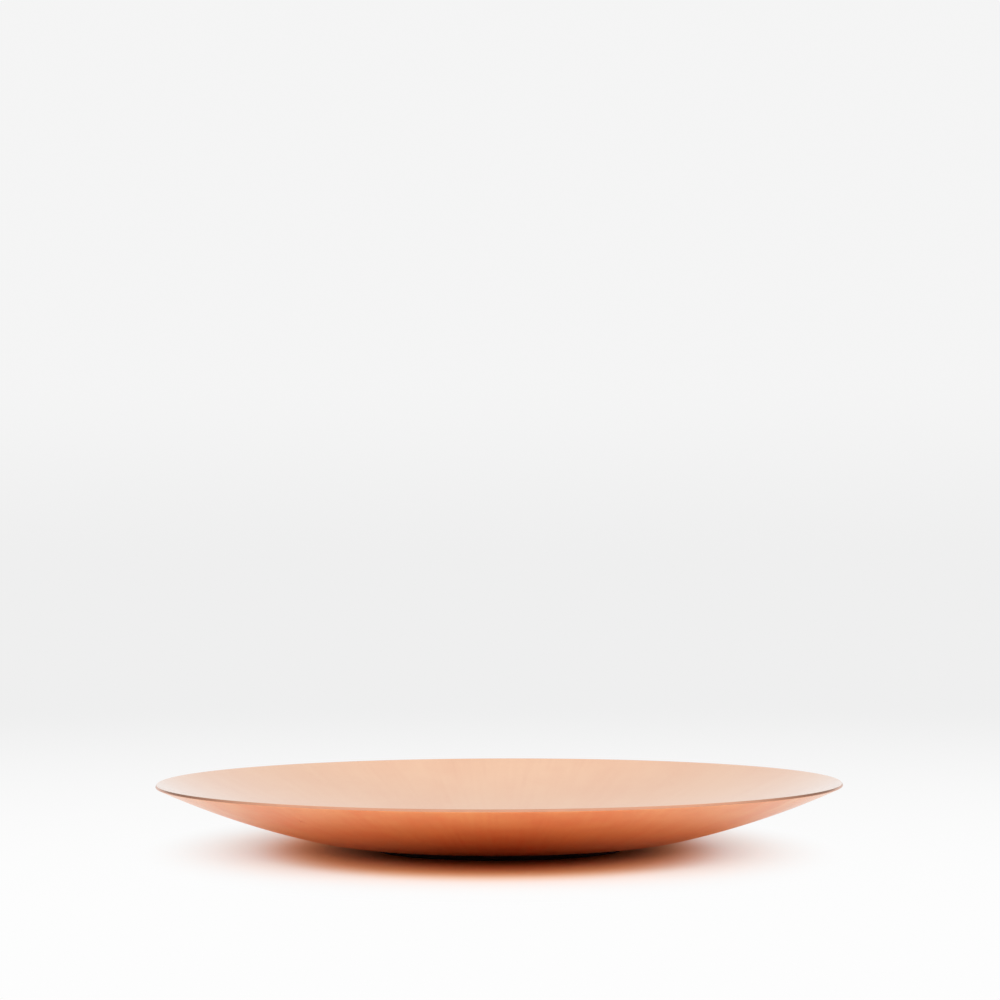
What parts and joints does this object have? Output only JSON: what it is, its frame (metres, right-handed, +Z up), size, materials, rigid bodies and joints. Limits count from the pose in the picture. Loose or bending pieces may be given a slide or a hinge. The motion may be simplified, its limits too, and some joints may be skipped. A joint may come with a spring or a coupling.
{
  "type": "drink coaster",
  "caption": "Shallow round copper dish with a flat base, a thin cut rim and a rubber foot glued underneath, for standing a drinking glass on.",
  "frame": {"origin": "middle of the rubber foot's underside, where it meets the table", "axes": "+Z up along the dish's axis of revolution, +Y away from the viewer of the picture, +X to the viewer's right"},
  "size_m": [0.12, 0.12, 0.0118],
  "materials": {
    "satin_copper": "satin copper sheet, hand rubbed, with faint streaks towards the rim",
    "clear_adhesive": "milky acrylic transfer adhesive",
    "black_rubber": "matt black moulded rubber"
  },
  "bodies": {
    "root": {"copper_dish": "satin_copper", "adhesive_disc": "clear_adhesive", "rubber_foot": "black_rubber"}
  },
  "joints": []
}
